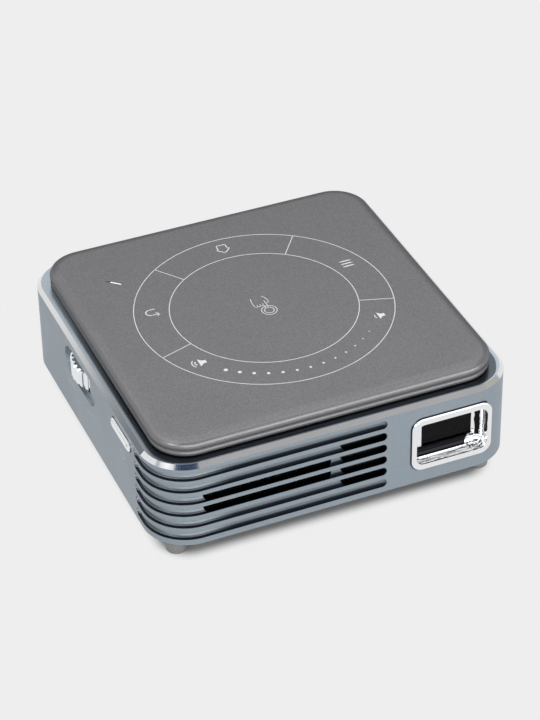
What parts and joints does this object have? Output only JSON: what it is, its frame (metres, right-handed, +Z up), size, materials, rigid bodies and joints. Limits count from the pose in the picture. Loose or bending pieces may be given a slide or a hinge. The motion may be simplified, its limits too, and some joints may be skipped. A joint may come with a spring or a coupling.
{
  "type": "pocket projector",
  "caption": "Square pocket projector with a touch cover, wrap-round grooves, recessed lens window, side focus thumbwheel, power button and four feet.",
  "frame": {"origin": "centre of the case's footprint, on the surface the feet stand on", "axes": "+X to the viewer's right when facing the lens, +Y to the back with the sockets, +Z up through the touch cover"},
  "size_m": [0.101, 0.1006, 0.0362],
  "materials": {
    "body_satin": "fine bead-blasted, bluish grey, with a polished chamfer",
    "cover_grey": "fine metallic grey paint",
    "chrome_trim": "polished",
    "dark_glass": "tinted",
    "clear_glass": "coated optical glass",
    "base_plastic": "fine texture",
    "foot_grey": "matt",
    "light_guide": "frosted",
    "circuit_board": "solder mask",
    "blue_board": "solder mask",
    "steel": "plain",
    "brass": "turned",
    "copper": "copper, satin",
    "cast_alloy": "die cast",
    "fin_alloy": "black anodised",
    "black_plastic": "moulded",
    "barrel_black": "black anodised",
    "battery_wrap": "film wrap",
    "coil_winding": "enamelled copper",
    "brown_filter": "dark red",
    "lamp_board": "white ceramic",
    "colour_mirror": "dichroic coating"
  },
  "bodies": {
    "case": {"body_shell": "body_satin", "top_plate": "cover_grey", "status_light": "light_guide", "touch_board": "circuit_board", "base_plate": "base_plastic", "base_screws": "steel", "tripod_bush": "brass", "lens_bezel": "chrome_trim", "lens_window": "dark_glass", "lens_holder": "cast_alloy", "engine_housing": "cast_alloy", "engine_cover": "cast_alloy", "prism": "clear_glass", "collimators": "clear_glass", "dichroic_plate": "colour_mirror", "dmd_board": "circuit_board", "dmd_heat_sink": "fin_alloy", "heat_block": "copper", "heat_pipe": "copper", "heat_sink": "fin_alloy", "blower_housing": "black_plastic", "blower_cover": "black_plastic", "main_board": "circuit_board", "battery_pack": "battery_wrap", "processor_shield": "steel", "audio_socket": "black_plastic", "ir_window": "brown_filter", "speaker": "black_plastic", "wheel_bracket": "cast_alloy", "wheel_axle": "steel", "guide_post": "steel", "retaining_clips": "steel", "wheel_washer": "brass", "small_screws": "steel", "foot_front_left": "foot_grey", "foot_rear_left": "foot_grey", "foot_front_right": "foot_grey", "foot_rear_right": "foot_grey", "led_module_left": "lamp_board", "led_module_rear": "lamp_board", "blower_bearing": "brass", "blower_stator": "coil_winding", "hdmi_socket": "steel", "usb_socket": "steel", "power_socket": "steel", "power_switch": "black_plastic", "side_board": "blue_board"},
    "focus_wheel_body": {"focus_wheel": "chrome_trim", "focus_pinion": "brass"},
    "slider_body": {"focus_slider": "steel"},
    "barrel_body": {"lens_barrel": "barrel_black", "front_lens": "clear_glass", "rear_lens": "clear_glass", "focus_pin": "steel"},
    "button_body": {"power_button": "chrome_trim", "button_plunger": "black_plastic"},
    "rotor_body": {"blower_rotor": "black_plastic", "blower_axle": "steel"}
  },
  "joints": [
    {"name": "focus_wheel_turn", "type": "hinge", "parent": "case", "child": "focus_wheel_body", "pos_m": [-0.039, 0.0092, 0.02375], "axis": [0, 0, 1], "range_deg": [-50, 50]},
    {"name": "focus_slide", "type": "slide", "parent": "case", "child": "slider_body", "axis": [1, 0, 0], "range_m": [-0.00262, 0.00262]},
    {"name": "lens_focus", "type": "slide", "parent": "case", "child": "barrel_body", "axis": [0, -1, 0], "range_m": [-0.001, 0.001]},
    {"name": "power_press", "type": "slide", "parent": "case", "child": "button_body", "axis": [1, 0, 0], "range_m": [0, 0.0005], "stiffness_N_per_m": 600},
    {"name": "fan_spin", "type": "hinge", "parent": "case", "child": "rotor_body", "pos_m": [-0.0225, -0.019, 0.0161], "axis": [0, 0, 1], "continuous": true}
  ],
  "couplings": [
    {"joint": "focus_slide", "follows": "focus_wheel_turn", "m_per_rad": 0.003},
    {"joint": "lens_focus", "follows": "focus_wheel_turn", "m_per_rad": 0.0011459}
  ]
}
